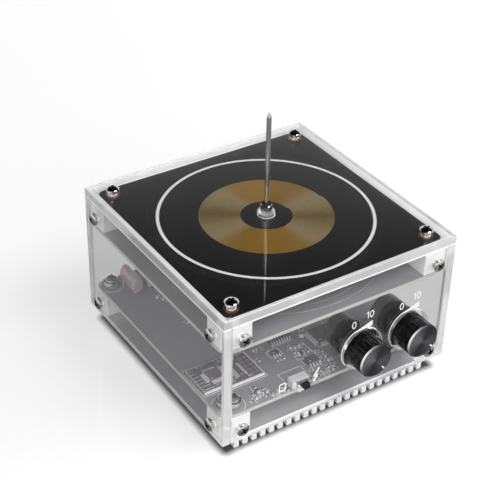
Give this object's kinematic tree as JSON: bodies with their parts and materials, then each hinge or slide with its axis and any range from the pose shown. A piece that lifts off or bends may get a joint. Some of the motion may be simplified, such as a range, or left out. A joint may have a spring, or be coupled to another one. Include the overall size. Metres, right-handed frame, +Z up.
{
  "type": "desktop resonant transformer",
  "caption": "Clear-cased resonant transformer for desk demonstrations: finned base, stacked boards, flat spiral windings, needle terminal, rotary controls and slide switch.",
  "frame": {"origin": "centre of the heat sink's underside, in the plane that the fins stand on", "axes": "+Z up along the needle; -Y out of the face with the knobs and the switch; +X to its right"},
  "size_m": [0.1114, 0.118, 0.1102],
  "materials": {
    "bright_aluminium": "extruded, clear anodised, satin",
    "clear_acrylic": "clear, polished faces, frosted cut edges",
    "black_board": "glass-fibre board with satin black solder mask",
    "plated_steel": "zinc-nickel plated, bright",
    "copper_track": "bare copper track, satin",
    "masked_track": "copper track under solder mask",
    "gold_pads": "gold-plated copper",
    "nickel_socket": "nickel-plated brass",
    "black_ring": "moulded",
    "needle_steel": "ground steel rod",
    "control_case": "dark moulded and pressed case",
    "shaft_metal": "turned",
    "knob_black": "fluted, gloss, with turned face",
    "switch_metal": "nickel-plated pressing",
    "switch_black": "moulded",
    "module_board": "daughter board",
    "chip_black": "moulded package",
    "dipped_pink": "dipped",
    "can_sleeve": "shrunk sleeve",
    "package_black": "moulded package with plated tab",
    "insulator_grey": "silicone sheet",
    "pillar_brass": "hexagon bar",
    "inlet_black": "moulded"
  },
  "bodies": {
    "case": {"heat_sink": "bright_aluminium", "lower_corner_blocks": "clear_acrylic", "upper_corner_blocks": "clear_acrylic", "main_board": "black_board", "board_spacers": "plated_steel", "board_screws": "plated_steel", "primary_board": "black_board", "primary_winding": "masked_track", "primary_board_screws": "plated_steel", "secondary_board": "black_board", "secondary_winding": "copper_track", "corner_pads": "gold_pads", "top_plate": "clear_acrylic", "top_screws": "plated_steel", "front_panel": "clear_acrylic", "back_panel": "clear_acrylic", "left_panel": "clear_acrylic", "right_panel": "clear_acrylic", "front_panel_screws": "plated_steel", "back_panel_screws": "plated_steel", "left_panel_screws": "plated_steel", "right_panel_screws": "plated_steel", "needle_socket": "nickel_socket", "socket_ring": "black_ring", "power_control_body": "control_case", "pitch_control_body": "control_case", "switch_shell": "switch_metal", "switch_base": "switch_black", "receiver_module": "module_board", "driver_chips": "chip_black", "film_capacitors": "dipped_pink", "electrolytic_capacitors": "can_sleeve", "power_transistors": "package_black", "transistor_pads": "insulator_grey", "transistor_screws": "plated_steel", "feed_pillars": "pillar_brass", "pillar_screws": "plated_steel", "power_inlet": "inlet_black", "power_inlet_pin": "nickel_socket", "audio_inlet": "inlet_black"},
    "power_dial": {"power_knob": "knob_black", "power_control_shaft": "shaft_metal"},
    "pitch_dial": {"pitch_knob": "knob_black", "pitch_control_shaft": "shaft_metal"},
    "mode_slider": {"switch_lever": "switch_black"},
    "needle": {"discharge_needle": "needle_steel"}
  },
  "joints": [
    {"name": "power_dial_turn", "type": "hinge", "parent": "case", "child": "power_dial", "pos_m": [0.0109, -0.0555, 0.0271], "axis": [0, -1, 0], "range_deg": [-9, 291]},
    {"name": "pitch_dial_turn", "type": "hinge", "parent": "case", "child": "pitch_dial", "pos_m": [0.0341, -0.0555, 0.0271], "axis": [0, -1, 0], "range_deg": [-20, 280]},
    {"name": "mode_switch_slide", "type": "slide", "parent": "case", "child": "mode_slider", "axis": [-1, 0, 0], "range_m": [0, 0.002]},
    {"name": "needle_lift", "type": "slide", "parent": "case", "child": "needle", "axis": [0, 0, 1], "range_m": [0, 0.02]}
  ]
}
